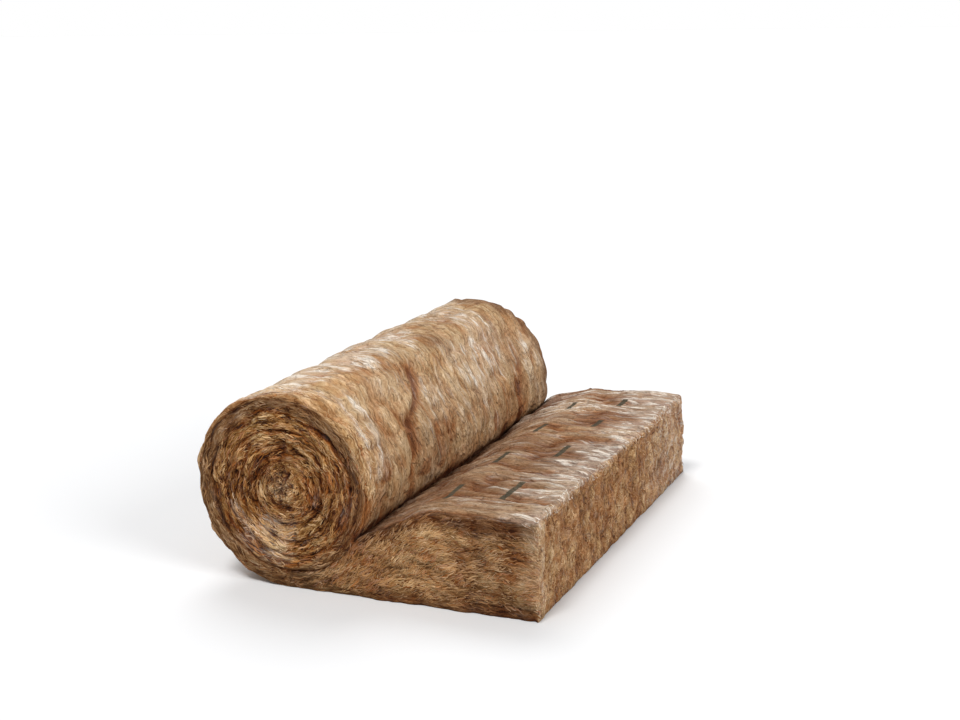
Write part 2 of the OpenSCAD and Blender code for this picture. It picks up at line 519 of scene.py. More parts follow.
# %% The tail's side
def level_side(x, z, side):
    """Bands and splits that climb from the roll and level out, a darker band under the tail's top and
    along the floor, a smooth corner at the cut end, and some dark spots. Height and traits again."""
    rise = z - 0.30 * smooth(0.55, 0.05, x) * x
    level = rise + 0.016 * noise(x / 0.12, z / 0.08, 3.5 + side, 34)
    split = crease(x / 0.075, level / 0.026, side * 2.5, 37, 7.0)
    bands = layers(x / 0.05, level / 0.015, side * 2.5, 35, 3)
    to_top = tail_top(x) - z + 0.014 * noise(x / 0.08, 0.5, side, 38)
    band = smooth(0.050, 0.02, to_top) * smooth(0.05, 0.2, x)
    band = band + 0.9 * smooth(0.042, 0.008, z) * smooth(0.1, 0.3, x)
    to_corner = tail_len - x + 0.035 * noise(0.5, z / 0.05, side, 39)
    corner = smooth(0.062, 0.022, to_corner) * smooth(0.03, 0.09, z)
    spot = dot(x, 0.59, 0.024) * dot(z, 0.145, 0.018) + dot(x, 0.60, 0.03) * dot(z, 0.10, 0.013)
    patchy = smooth(0.47, 0.56, x) * smooth(0.0, 0.4, noise(x / 0.05, z / 0.03, side, 45))
    spot = np.clip(1.6 * spot + 0.5 * patchy, 0, 1)
    right = smooth(0.38, 0.52, x) * (1 - corner)
    height = (4 * MM * bands - 4 * MM * split) * (1 - 0.6 * corner)
    # valley: painted shade in the splits between layers, together with the darker spots and band.
    valley = np.clip(0.35 * split + 0.32 * spot + 0.25 * band, 0, 1) * (1 - corner)
    shade = 0.70 * band + 0.2 * corner + 0.5 * right
    tone = 0.04 - 0.05 * smooth(0.45, 0.3, x) + 0.10 * bands
    tone = tone + 0.12 * noise(x / 0.11, level / 0.05, side * 1.5, 43)
    return np.stack([height, valley, 0.3 + 0.5 * corner, 0.05 * corner, shade, tone], -1)


# %% Both together
side_tone = 0.53


def side_relief(x, z, side):
    """The wound end, which turns into the tail's side within some 14 cm beyond the roll's lowest point."""
    part = smooth(0.02, 0.16, x - 0.6 * np.clip(z - 0.04, 0, None))[..., None]
    relief = wound_end(x, z, side) * (1 - part) + level_side(x, z, side) * part
    relief[..., 3:5] = np.clip(relief[..., 3:5], 0, 1)
    relief[..., 5] += side_tone
    return relief


# %% [markdown]
# ## One rule for every point
# All patches of the surface go through the same function. It rounds the sharp rim between skin and
# side, and then moves the point along its own normal by the relief. Because neighbouring patches
# use the same rule, their shared points end up together, and the whole surface can be welded shut.

# %% From a plain section to wool
rim_r = 13 * MM


def to_wool(section, normal, y, inside, skin, floor_hold):
    """section (x, z) and normal of the nearest outline point, y along the roll, inside = distance in
    from the outline on a side, skin = height and traits of the skin there. The rim is an arc of
    radius rim_r, and a point on it takes its relief from the skin and the side by the arc's angle."""
    side = np.where(y < 0, -1.0, 1.0)
    from_end = half_width - np.abs(y)
    radius = rim_r * floor_hold
    safe = np.maximum(radius, 1e-6)
    turn = np.where(inside > 0, 1 + np.clip(inside / safe, 0, 1), 1 - np.clip(from_end / safe, 0, 1))
    turn = turn * (math.pi / 4)
    on_rim = (from_end < radius) & (inside < radius)
    moved_in = np.where(on_rim, radius * (1 - np.cos(turn)), inside)
    moved_end = np.where(on_rim, radius * (1 - np.sin(turn)), from_end)
    cut = side_relief(section[..., 0], section[..., 1], side)
    share = np.cos(turn)[..., None] ** 2
    mixed = skin * share + cut * (1 - share)
    height = mixed[..., 0]
    place = section + normal * (inside - moved_in + height * np.cos(turn))[..., None]
    end = half_width - moved_end + height * np.sin(turn)
    place = np.stack([place[..., 0] + roll_x, side * end, np.maximum(place[..., 1], 0)], -1)
    return place, mixed[..., 1:]


# %% The skin's two patches
rim_steps = np.array([0, 3, 6.5, 10.5, 15]) * MM
inner_half = half_width - 21 * MM
inner_rows = np.linspace(-inner_half, inner_half, 176)
rows = np.concatenate([rim_steps - half_width, inner_rows, half_width - rim_steps[::-1]])
skin_scale = np.array([0.7, 0.45])
end_squeeze = 1.2


def skin_patch(line, normal, length, relief, across):
    """The outline carried along the roll: a grid of outline points by rows across the width. Besides its
    places it keeps its plain, unroughened base, and two flat layouts of it, called grain and flat."""
    s, y = np.meshgrid(length, rows, indexing="ij")
    section = np.repeat(line[:, None], len(rows), 1)
    outward = np.repeat(normal[:, None], len(rows), 1)
    hold = smooth(0.0, 0.05, section[..., 1])
    place, traits = to_wool(section, outward, y, np.zeros_like(y), relief(s, y), hold)
    base = np.stack([section[..., 0] + roll_x, y, section[..., 1]], -1)
    grain = skin_scale * np.stack([s, across(s, y)], -1)
    flat = np.stack([s, y], -1)
    return SimpleNamespace(base=base, place=place, traits=traits, grain=grain, flat=flat, out=1)


barrel = skin_patch(barrel_line, barrel_normal, barrel_length, barrel_relief, slant)
tail = skin_patch(tail_line, tail_normal, tail_length, tail_relief, lambda s, y: y)
tail.grain[..., 0] += end_squeeze * np.clip(tail.flat[..., 0] - flat_edge, 0, None)
print("skin grids:", barrel.place.shape[:2], tail.place.shape[:2])

# %% [markdown]
# ## The sides as a strip of blanket
# A side could be one flat face with a spiral drawn on it. Here it is a strip instead: a grid whose
# one direction follows the blanket inwards and whose other direction crosses its thickness. The
# inner edge of each turn is the outer edge of the next, so the turns close up without a seam.

# %% Grids of the cut sides
turns = 4.5
strip_columns = int(turns * columns_a_turn)
layer_steps = np.array([0, 0.07, 0.16, 0.27, 0.38, 0.5, 0.62, 0.73, 0.84, 0.93, 1.0])
bud_steps = np.array([0, 0.12, 0.28, 0.45, 0.62, 0.8, 1.0])


def strip_section():
    """Across the blanket from one turn of the spiral to the next, along its inward run."""
    angle = np.arange(strip_columns + 1) * angle_step
    outer, inner = spiral(angle), spiral(angle + TURN)
    outer[: tip_i + 1] = barrel_line
    share = layer_steps[None, :, None]
    return outer[:, None] * (1 - share) + inner[:, None] * share


def bud_section():
    """The heart of the roll: rings that shrink from the last turn to one point."""
    angle = np.arange(strip_columns, strip_columns + columns_a_turn + 1) * angle_step
    ring = np.concatenate([spiral(angle), strip_section()[-1, -2::-1]])
    centre = ring[:-1].mean(0)
    share = bud_steps[None, :, None]
    return ring[:, None] * (1 - share) + centre * share


def tail_section():
    """A Coons patch: a grid stretched between the floor, the tail's top, its cut end and its root."""
    top = np.concatenate([contact_line[:0:-1], tail_line[: len(top_line)]])
    floor = np.stack([top[:, 0], np.zeros(len(top))], -1)
    floor[-1] = tail_line[-1]
    end = tail_line[: len(top_line) - 2 : -1]
    root = np.linspace(floor[0], top[0], cut_rows + 1)
    a = (along(floor) / along(floor)[-1])[:, None, None]
    b = np.linspace(0, 1, cut_rows + 1)[None, :, None]
    between = floor[:, None] * (1 - b) + top[:, None] * b
    beside = root[None] * (1 - a) + end[None] * a
    first = floor[0] * (1 - b) + top[0] * b
    last = floor[-1] * (1 - b) + top[-1] * b
    return between + beside - (first * (1 - a) + last * a)


# %% How far a point of a side lies from the outline
floor_points = 200
floor_line = np.linspace(tail_line[-1], barrel_line[0], floor_points)
floor_normal = np.tile([0.0, -1.0], (floor_points, 1))
outline = np.concatenate([barrel_line, tail_line, floor_line])
outline_normal = np.concatenate([barrel_normal, tail_normal, floor_normal])
outline_s = np.concatenate([barrel_length, tail_length, np.zeros(len(floor_line))])


def nearest_on_outline(section):
    """Distance to the outline, and the number of its nearest point, for an array of section points."""
    flat = section.reshape(-1, 2)
    apart = ((flat[:, None] - outline[None]) ** 2).sum(-1)
    number = apart.argmin(1)
    distance = np.sqrt(apart[np.arange(len(flat)), number])
    return distance.reshape(section.shape[:-1]), number.reshape(section.shape[:-1])


def wander(section, depth):
    """Pushes the turns sideways a little, so that they wave, but never at the outline itself."""
    x, z = section[..., 0], section[..., 1]
    amount = 9 * MM * smooth(0.0, 0.05, depth)
    shift_x = noise(x / 0.07, z / 0.07, 1.5, 41)
    shift_z = noise(x / 0.07, z / 0.07, 5.5, 42)
    shift = np.stack([shift_x, shift_z], -1)
    return section + shift * amount[..., None]


def side_patch(section, side, groove, grain, out):
    """A cut side at one end of the roll. groove pushes the lines between turns in from the end."""
    depth, number = nearest_on_outline(section)
    y = np.full(depth.shape, side * half_width)
    s = outline_s[number]
    on_barrel = (number < len(barrel_line))[..., None]
    on_skin = (number < len(barrel_line) + len(tail_line))[..., None]
    skin = np.where(on_barrel, barrel_relief(s, y), tail_relief(s, y)) * on_skin
    hold = smooth(0.0, 0.05, section[..., 1])
    place, traits = to_wool(wander(section, depth), outline_normal[number], y, depth, skin, hold)
    groove = groove * smooth(0.0, 0.012, depth)
    place[..., 1] -= side * groove
    # The grooves between turns are darkened as painted shade through the valley trait.
    traits[..., 0] = np.maximum(traits[..., 0], 0.7 * groove / groove_depth)
    base = np.stack([section[..., 0] + roll_x, y, section[..., 1]], -1)
    flat = base[..., [0, 2]]
    return SimpleNamespace(base=base, place=place, traits=traits, grain=grain, flat=flat, out=out)


# %% Grooves between the turns
groove_depth = 8 * MM
groove_half = 3.5 * MM


def groove_profile(distance):
    """Deep at the line between two turns, and gone about 7 mm away from it."""
    return groove_depth * np.exp(-((distance / groove_half) ** 2))


def broken(line_number):
    """Lets a line between turns come and go along the winding."""
    return smooth(-0.7, 0.6, noise(line_number / 17.0, 0.5, 0.5, 51))


# %% Grooves and grain of the strip
strip = strip_section()
column = np.arange(strip_columns + 1)[:, None]
outer_side = layer_steps[None] < 0.5
line_number = column + np.where(outer_side, 0, columns_a_turn)
strip_groove = groove_profile(turn_t * np.minimum(layer_steps, 1 - layer_steps)[None])
strip_groove = strip_groove * smooth(tip_i - 4, tip_i + 4, line_number)
strip_groove = strip_groove * broken(line_number)
middle_row = len(layer_steps) // 2
strip_length = along(strip[:, middle_row])[:, None]
strip_out = turn_t * (column / columns_a_turn + layer_steps)
strip_grain = np.stack(np.broadcast_arrays(strip_length, strip_out), -1)

# %% Grooves and grain of the bud
bud = bud_section()
bud_ring = np.array([1, 0.3, 0, 0, 0, 0, 0])[None]
bud_column = np.arange(len(bud))[:, None]
closing_columns = 8
bud_groove = groove_depth * bud_ring
bud_groove = bud_groove * smooth(columns_a_turn, columns_a_turn - closing_columns, bud_column)
bud_groove = bud_groove * broken(bud_column + strip_columns)
bud_length = along(bud[:, 0])[:, None] + strip_length[-1]
bud_out = np.linalg.norm(bud - bud[:, -1:].mean(0), axis=-1)
bud_grain = np.stack(np.broadcast_arrays(bud_length, bud_out), -1)

# %% Grooves and grain of the tail's side
tail_side = tail_section()
contact_columns = len(contact_line) - 1
to_top = np.linalg.norm(tail_side[:, -1:] - tail_side, axis=-1)
touching = smooth(contact_columns + 2, contact_columns - 6, np.arange(len(tail_side)))[:, None]
tail_groove = groove_profile(to_top) * touching
layer_share = np.linspace(0, 1, cut_rows + 1)[None]
tail_grain = np.stack(np.broadcast_arrays(-tail_side[..., 0], layer_share * loose_t), -1)

# %% Both ends of the blanket
sides = {}
for name, side in (("near", -1), ("far", 1)):
    sides[name] = SimpleNamespace(
        strip=side_patch(strip, side, strip_groove, strip_grain, side),
        bud=side_patch(bud, side, bud_groove, bud_grain, side),
        tail=side_patch(tail_side, side, tail_groove, tail_grain, -side),
    )
print("side grids:", strip.shape[:2], bud.shape[:2], tail_side.shape[:2])

# %% [markdown]
# ## Welding the patches into one closed surface
# Each patch has its own copy of the points along its edges. Points whose plain, unroughened places
# are the same are one point of the surface, so they are merged, and take the mean of their rough
# places. The underside is one flat face, because the real blanket lies on it with its whole weight.

# %% Number the points of all patches
patches = [barrel, tail]
for name in sides:
    patches += [sides[name].strip, sides[name].bud, sides[name].tail]
point_count = 0
for patch in patches:
    shape = patch.base.shape[:2]
    patch.number = point_count + np.arange(shape[0] * shape[1]).reshape(shape)
    point_count += patch.number.size
print("points of all patches:", point_count)


def gather(name, width):
    """One long array of a value that every patch holds at its points."""
    return np.concatenate([getattr(p, name).reshape(-1, width) for p in patches])


base = gather("base", 3)
place = gather("place", 3)
grain = gather("grain", 2)
traits = gather("traits", 5)


# %% Faces of a grid, and of its joins
def grid_faces(number, flip):
    """Four corner numbers for each cell of a grid, in the order that makes it face outwards."""
    faces = np.stack([number[:-1, :-1], number[1:, :-1], number[1:, 1:], number[:-1, 1:]], -1)
    faces = faces.reshape(-1, 4)
    return faces[:, ::-1] if flip else faces


def join_faces(fine, coarse, flip):
    """Triangles that join a fine column of points to a coarse one, which has a quarter of its cells."""
    cell = np.arange(len(coarse) - 1)
    a, b = coarse[cell], coarse[cell + 1]
    f = [fine[4 * cell + n] for n in range(5)]
    parts = [(a, f[1], f[0]), (a, f[2], f[1]), (a, b, f[2]), (b, f[3], f[2]), (b, f[4], f[3])]
    faces = np.concatenate([np.stack(part, -1) for part in parts])
    return faces[:, ::-1] if flip else faces


def hub_faces(number, flip):
    """Triangles from the innermost ring to the hub, where all points of the last ring lie."""
    faces = np.stack([number[:-1, -2], number[1:, -2], number[:-1, -1]], -1)
    return faces[:, ::-1] if flip else faces


# %% Faces of the whole surface
quads = [grid_faces(barrel.number, False), grid_faces(tail.number, False)]
triangles = []
for name, flip in (("near", True), ("far", False)):
    at_end = sides[name]
    quads.append(grid_faces(at_end.strip.number, flip))
    quads.append(grid_faces(at_end.bud.number[:, :-1], flip))
    quads.append(grid_faces(at_end.tail.number[1:], not flip))
    triangles.append(join_faces(at_end.tail.number[1], at_end.strip.number[0], flip))
    triangles.append(hub_faces(at_end.bud.number, flip))
quads = np.concatenate(quads)
triangles = np.concatenate(triangles)

# The underside is one face, bounded by the lowest points of both ends, the barrel and the cut end.
floor_ring = np.concatenate([
    barrel.number[0, 1:-1],
    sides["far"].tail.number[:, 0],
    tail.number[-1, -2:0:-1],
    sides["near"].tail.number[::-1, 0],
])

# %% Merge the shared points: those whose plain places round to the same hundredth of a millimetre
per_metre = 1e5
off_grid = 3.7e-6
key = np.round((base + off_grid) * per_metre).astype(np.int64)
first, merged = np.unique(key, axis=0, return_index=True, return_inverse=True)[1:]
merged = merged.ravel()
copies = np.bincount(merged)


def mean_of_copies(values):
    """For each merged point, the sum of its copies' values divided by how many copies there are."""
    return np.stack([np.bincount(merged, v) / copies for v in values.T], -1)


points = mean_of_copies(place)
point_traits = mean_of_copies(traits)
points[base[first, 2] < 1e-6, 2] = 0
print("points:", len(place), "merged to", len(points))

# %% [markdown]
# ## From arrays to a Blender mesh
# Blender stores a mesh as flat arrays too: the places of its points, the corners of all faces one
# after another, and where each face starts. Filling those arrays directly is far quicker than
# adding faces one by one, and it keeps the count of points and faces in plain sight.


# %% A mesh from arrays
def make_mesh(name, points, faces):
    """faces is a list of arrays, each with one row of corner numbers per face."""
    totals = np.concatenate([np.full(len(f), f.shape[1]) for f in faces])
    starts = np.concatenate([[0], np.cumsum(totals)[:-1]])
    corner_numbers = np.concatenate([f.ravel() for f in faces])
    mesh = bpy.data.meshes.new(name)
    mesh.vertices.add(len(points))
    mesh.vertices.foreach_set("co", points.astype(np.float32).ravel())
    mesh.loops.add(int(totals.sum()))
    mesh.loops.foreach_set("vertex_index", corner_numbers.astype(np.int32))
    mesh.polygons.add(len(totals))
    mesh.polygons.foreach_set("loop_start", starts.astype(np.int32))
    mesh.update(calc_edges=True)
    mesh.polygons.foreach_set("use_smooth", np.ones(len(totals), bool))
    made = bpy.data.objects.new(name, mesh)
    bpy.context.scene.collection.objects.link(made)
    return made


def add_value(piece, name, values):
    """One number for each point of the piece, which its material can read by name."""
    attribute = piece.data.attributes.new(name, "FLOAT", "POINT")
    attribute.data.foreach_set("value", values.astype(np.float32))


def add_map(piece, name, places):
    """A UV map: one place for each corner of each face."""
    layer = piece.data.uv_layers.new(name=name, do_init=False)
    layer.uv.foreach_set("vector", places.astype(np.float32).ravel())


TRAITS = ("valley", "felt", "pale", "shade", "tone")


def triangle_count(piece):
    """How many triangles the piece has when each face is cut into triangles."""
    return len(piece.data.loops) - 2 * len(piece.data.polygons)


# %% The wool surface
corner_points = np.concatenate([quads.ravel(), triangles.ravel(), floor_ring])
used, renumbered = np.unique(merged[corner_points], return_inverse=True)
ends = np.cumsum([quads.size, triangles.size])
corners_each = (4, 3, len(floor_ring))
wool_faces = [part.reshape(-1, n) for part, n in zip(np.split(renumbered, ends), corners_each)]
wool = make_mesh("wool_blanket_roll", points[used], wool_faces)
for number, name in enumerate(TRAITS):
    add_value(wool, name, point_traits[used, number])
edges_open = len(wool.data.edges) * 2 - len(wool.data.loops)
print("wool surface:", triangle_count(wool), "triangles, edges without two faces:", edges_open)
assert triangle_count(wool) < 200_000

# %% [markdown]
# ## Two maps for the wool
# A map says where each corner of a face lies on a flat picture. The first one, "grain", measures
# metres along the fibres and across them, so that a pattern can be stretched along the blanket even
# where it winds up. The second lays every patch beside the others without overlap, which is the
# form that a program needs when it bakes the finish into one picture.

# %% Lay out the maps
margin = 0.01
sides_from = 2 * half_width + margin
floor_from = sides_from + high.z + margin
sheet_size = floor_from + high.x - roll_x + 3 * margin

skin_count = patches[0].number.size + patches[1].number.size
atlas = gather("flat", 2)
atlas[:skin_count, 1] += half_width
atlas[barrel.number.size : skin_count, 0] += barrel_length[-1] + margin
atlas[skin_count:] += [-low.x, sides_from]
atlas[skin_count:, 0] += np.where(base[skin_count:, 1] > 0, high.x - low.x + margin, 0)
floor_atlas = base[floor_ring][:, [1, 0]] + [half_width, floor_from - roll_x]
in_sheet = np.concatenate([atlas[corner_points[: ends[1]]], floor_atlas])
add_map(wool, "grain", grain[corner_points])
add_map(wool, "OFBake", (in_sheet + margin) / sheet_size)
used_part = [(edge / sheet_size).round(3) for edge in (in_sheet.min(0), in_sheet.max(0))]
print("bake map without its margin, from and to:", *used_part)

# %% [markdown]
# ## Loose fibres
# Mineral wool is never smooth: thin locks of fibre lie on it everywhere and break its outline.
# Blender's hair system could grow them, but hair is drawn only by Blender itself. Here each lock is
# a tiny closed mesh, pointed at both ends and triangular in between, so it lives on in any program.
# A lock follows a path in a patch's own grid, which makes it hug every lump without a search. Longer
# and wider locks with a wavy path make the flakes and curls that lie between the finer fibres.


# %% Reading a patch between its points
def sample(grid, i, j):
    """The grid's value at fractional rows i and columns j. Past a border, its last cell carries on."""
    a = np.clip(np.floor(i).astype(int), 0, grid.shape[0] - 2)
    b = np.clip(np.floor(j).astype(int), 0, grid.shape[1] - 2)
    u = (i - a)[..., None]
    v = (j - b)[..., None]
    first = grid[a, b] * (1 - u) + grid[a + 1, b] * u
    second = grid[a, b + 1] * (1 - u) + grid[a + 1, b + 1] * u
    return first * (1 - v) + second * v


def unit(vectors):
    """The same directions, each of length 1."""
    return vectors / np.maximum(np.linalg.norm(vectors, axis=-1, keepdims=True), 1e-9)


def cell_sizes(grid):
    """How long, in metres, each step between neighbouring points is along both directions."""
    return [np.linalg.norm(np.gradient(grid, axis=k), axis=-1, keepdims=True) + 1e-5 for k in (0, 1)]


def in_clumps(values, clump, count):
    """Each clump's value, repeated for all locks of the clump."""
    return np.repeat(values, clump, 0)[:count]


# %% Where the locks of one patch start
# No lock starts near the floor. The locks of a clump scatter by so much along and across the patch,
# and may run past its border by a little.
clear_of_floor = 8 * MM
scatter_i = 7 * MM
scatter_j = 4 * MM
border = 4 * MM


def lock_starts(patch, count, spread, clump, rng):
    """Clumps of starts by chance over the patch's area, with fewer in valleys and shade, and more where
    the pale share is high, which holds pale fibres and painted highlights. Returns their places in the
    grid and the turn that a clump shares."""
    grid = patch.place
    step_i, step_j = cell_sizes(grid)
    area = (step_i * step_j)[:-1, :-1, 0] * (grid[:-1, :-1, 2] > clear_of_floor)
    valley, pale, shade = (patch.traits[:-1, :-1, n] for n in (0, 2, 3))
    area = area * (1.05 - valley) * (0.6 + pale) * (1.15 - shade)
    chance = np.cumsum(area.ravel())
    clumps = -(-count // clump)
    cell = np.searchsorted(chance, rng.random(clumps) * chance[-1])
    i = cell // area.shape[1] + rng.random(clumps)
    j = cell % area.shape[1] + rng.random(clumps)
    turn = rng.normal(0, spread, clumps)
    return (in_clumps(v, clump, count) for v in (i, j, turn))


# %% Paths of the locks over one patch
def lock_paths(patch, count, look, rng):
    """From each start a path runs at the angle lean from the patch's first direction, bent and waved a
    little. Returns its places in the grid, (count, knots, 2)."""
    grid = patch.place
    step_i, step_j = cell_sizes(grid)
    knots = look.rings + 2
    i, j, clump_turn = lock_starts(patch, count, look.spread, look.clump, rng)
    size_i = sample(step_i, i, j)[:, 0]
    size_j = sample(step_j, i, j)[:, 0]
    i = np.clip(i + rng.normal(0, scatter_i, count) / size_i, 0, grid.shape[0] - 1.001)
    j = np.clip(j + rng.normal(0, scatter_j, count) / size_j, 0, grid.shape[1] - 1.001)
    angle = look.lean(sample(grid, i, j)) + clump_turn + rng.normal(0, look.spread * 0.6, count)
    bend = rng.normal(0, 0.35, count)
    reach = rng.uniform(*look.length, count)
    t = np.linspace(0, 1, knots)
    heading = angle[:, None] + bend[:, None] * (t - 0.5)
    heading = heading + look.wave * np.sin(TURN * (1.5 * t + rng.random((count, 1))))
    forward = np.cumsum(np.cos(heading), 1) - np.cos(heading[:, :1])
    sideways = np.cumsum(np.sin(heading), 1) - np.sin(heading[:, :1])
    scale = (reach / (knots - 1))[:, None]
    path_i = i[:, None] + forward * scale / size_i[:, None]
    path_j = j[:, None] + sideways * scale / size_j[:, None]
    over_i = np.minimum(patch.over / size_i, 8)[:, None]
    over_j = np.minimum(border / size_j, 1)[:, None]
    path_i = np.clip(path_i, -over_i, grid.shape[0] - 1 + over_i)
    path_j = np.clip(path_j, -over_j, grid.shape[1] - 1 + over_j)
    return np.stack([path_i, path_j], -1)


# %% One lock as a closed spindle
def spindle_faces(rings):
    """Corner numbers of one lock: its first tip, rings of three points, and its last tip."""
    ring = [[1 + 3 * r + k for k in range(3)] for r in range(rings)]
    last = 3 * rings + 1
    faces = []
    for k in range(3):
        n = (k + 1) % 3
        faces.append((0, ring[0][n], ring[0][k]))
        for r in range(rings - 1):
            faces.append((ring[r][k], ring[r][n], ring[r + 1][n]))
            faces.append((ring[r][k], ring[r + 1][n], ring[r + 1][k]))
        faces.append((last, ring[-1][k], ring[-1][n]))
    return np.array(faces)


def spindle_map(rings):
    """One lock unrolled in a cell from 0 to 1: its length runs across, its three sides lie stacked.
    The third side lies between points 2 and 0 of each ring, so point 0 has a second place there."""
    last = 3 * rings + 1
    tip_u = {0: 0.03, last: 0.97}
    places = []
    for face in spindle_faces(rings):
        corners_here = {(n - 1) % 3 for n in face if 0 < n < last}
        side = 2 if corners_here == {0, 2} else min(corners_here)
        for n in face:
            if n in tip_u:
                places.append((tip_u[n], 0.05 + 0.3 * (side + 0.5)))
                continue
            number = (n - 1) % 3
            if side == 2 and number == 0:
                number = 3
            places.append((0.03 + 0.94 * (1 + (n - 1) // 3) / (rings + 1), 0.05 + 0.3 * number))
    return np.array(places)


# %% From paths to spindles
# A lock's base lies sunk under the surface, and no point of it comes nearer to the floor than this.
sunk = 1.2 * MM
least_height = 0.4 * MM


def lock_points(patch, path, look, rng):
    """Carries a flat triangle along each path. Its base lies under the surface and its ridge stands
    over it. Towards its end a lock rises by up to flick, so that some tips come free."""
    count, knots = path.shape[:2]
    centre = sample(patch.place, path[..., 0], path[..., 1])
    normal = np.cross(np.gradient(patch.place, axis=0), np.gradient(patch.place, axis=1)) * patch.out
    normal = unit(sample(unit(normal), path[..., 0], path[..., 1]))
    t = np.linspace(0, 1, knots)[None, :, None]
    rise = look.lift * MM * rng.uniform(0.3, 1.0, (count, 1, 1)) * np.sin(math.pi * t) - sunk
    rise = rise + look.flick * MM * rng.random((count, 1, 1)) ** 2 * t**3
    centre = centre + normal * rise
    heading = unit(np.gradient(centre, axis=1))
    across = unit(np.cross(normal, heading))
    taper = np.sin(math.pi * (0.12 + 0.76 * t)) ** 0.7
    thick = look.width * MM * rng.uniform(0.55, 1.25, (count, 1, 1)) * taper
    left = centre - across * thick
    right = centre + across * thick
    top = centre + normal * thick * look.tall
    body = np.stack([left, right, top], 2)[:, 1:-1].reshape(count, -1, 3)
    points = np.concatenate([centre[:, :1], body, centre[:, -1:]], 1)
    points[..., 2] = np.maximum(points[..., 2], least_height)
    return points


# %% Traits of the locks
def lock_traits(patch, path, starts, look, rng):
    """Each lock takes the traits of the wool under its start, with a tone of its own. Some clumps take
    much more of the pale share, painted highlights included, than others, and each lock pales a little
    towards its tip."""
    count = len(path)
    clumps = -(-count // look.clump)
    traits = sample(patch.traits, path[:, 0, 0], path[:, 0, 1])
    ring_places = np.arange(1, look.rings + 1) / (look.rings + 1)
    along_lock = np.concatenate([[0], np.repeat(ring_places, 3), [1]])
    own = rng.normal(0, look.contrast, (count, 1))
    own = own + in_clumps(rng.normal(0, 0.7 * look.contrast, (clumps, 1)), look.clump, count)
    # detail gives a finer tone, and gaps that the valley trait darkens as painted shade.
    if look.detail:
        tone, gap = look.detail(starts)
        traits[:, 4] += tone
        traits[:, 0] = np.maximum(traits[:, 0], gap)
    values = {name: np.repeat(traits[:, n : n + 1], len(along_lock), 1) for n, name in enumerate(TRAITS)}
    values["valley"] = values["valley"] * 0.8
    values["tone"] = values["tone"] + own
    lightened = in_clumps(1.3 * rng.random((clumps, 1)) ** 2, look.clump, count)
    values["pale"] = values["pale"] * lightened + 0.2 * along_lock * rng.random((count, 1)) ** 2
    return values


# %% One piece of many locks
loose = []


def make_locks(name, patch, count, look, seed):
    """A piece made of count locks of fibre on one patch. All its locks share one map, each in a cell."""
    rng = np.random.default_rng(seed)
    path = lock_paths(patch, count, look, rng)
    points = lock_points(patch, path, look, rng)
    each = points.shape[1]
    faces = spindle_faces(look.rings)[None] + each * np.arange(count)[:, None, None]
    piece = make_mesh(name, points.reshape(-1, 3), [faces.reshape(-1, 3)])
    for trait, value in lock_traits(patch, path, points[:, 0], look, rng).items():
        add_value(piece, trait, np.clip(value, 0, 1).ravel())
    columns = math.ceil(math.sqrt(count / 3))
    cells = np.array([columns, math.ceil(count / columns)])
    cell = np.stack([np.arange(count) % columns, np.arange(count) // columns], -1)
    places = (cell[:, None] + spindle_map(look.rings)[None]) / cells
    add_map(piece, "OFBake", places.reshape(-1, 2))
    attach(piece, "root")
    print(f"{name}: {count} locks, {triangle_count(piece)} triangles")
    assert triangle_count(piece) < 200_000
    loose.append(piece)


# %% [markdown]
# ## Locks for each part of the blanket
# On the skin the locks are long and lie flat, combed round the roll or across the tail. On the ends
# they follow the winding. On the tail's sides they are short and slant, and on the cut end they are
# short tufts that stand out in every direction. Each kind is one set of values. Length is in metres,
# from the shortest to the longest; width, lift (how high a lock arches) and flick (how far its tip
# stands off) are in millimetres. Lean is a function that gives its direction at a place, spread is how
# much the directions scatter, contrast how much the tones do, and detail adds a finer pattern. More
# values say how many rings a lock has, how many locks make a clump, how tall the ridge of a lock is
# beside its width, and how much its path waves.


# %% A kind of lock
def lock_look(length, width, lift, flick, lean, spread, contrast, detail=None, **more):
    """All values of one kind of lock. Unless more says so, it has 2 rings, clumps of 6 and no waves."""
    shape = {"rings": 2, "clump": 6, "tall": 1.1, "wave": 0.0, **more}
    return SimpleNamespace(
        length=length, width=width, lift=lift, flick=flick,
        lean=lean, spread=spread, contrast=contrast, detail=detail, **shape,
    )


combed = {"rings": 3, "tall": 0.8}
flaky = {"rings": 5, "clump": 2, "tall": 0.8, "wave": 0.28}
end_border = 15 * MM


def part_of(patch, columns, over=border):
    """Some columns of a patch. Locks may run past its first and last column by over."""
    place = patch.place[columns]
    traits = patch.traits[columns]
    return SimpleNamespace(place=place, traits=traits, out=patch.out, over=over)


def xyz(place):
    """The three coordinates of an array of places."""
    return place[..., 0], place[..., 1], place[..., 2]


# %% Locks of the skin
def barrel_lean(place):
    """The barrel's fibres run round it near one end, and drift along it further on."""
    x, y, z = xyz(place)
    s = roll_r * np.mod(np.arctan2(roll_x - x, roll_r - z), TURN)
    slope = (drift(s + MM, y) - drift(s - MM, y)) / (2 * MM)
    return np.arctan(slope) + 0.25 * noise(x / 0.1, y / 0.1, z / 0.1, 61)


def level_lean(place):
    """The tail's fibres wave gently about the direction in which the blanket was unrolled."""
    x, y, z = xyz(place)
    return 0.30 * noise(x / 0.09, y / 0.05, z / 0.1, 62)


top_patch = part_of(tail, slice(0, len(top_line) + 2))
end_patch = part_of(tail, slice(len(top_line) - 2, None))
barrel_look = lock_look((0.012, 0.045), 1.1, 0.8, 3, barrel_lean, 0.16, 0.07, **combed)
top_look = lock_look((0.012, 0.04), 1.1, 0.9, 2, level_lean, 0.2, 0.06, **combed)
make_locks("fibres_barrel", part_of(barrel, slice(None)), 3800, barrel_look, seed=1)
make_locks("fibres_tail_top", top_patch, 3800, top_look, seed=2)


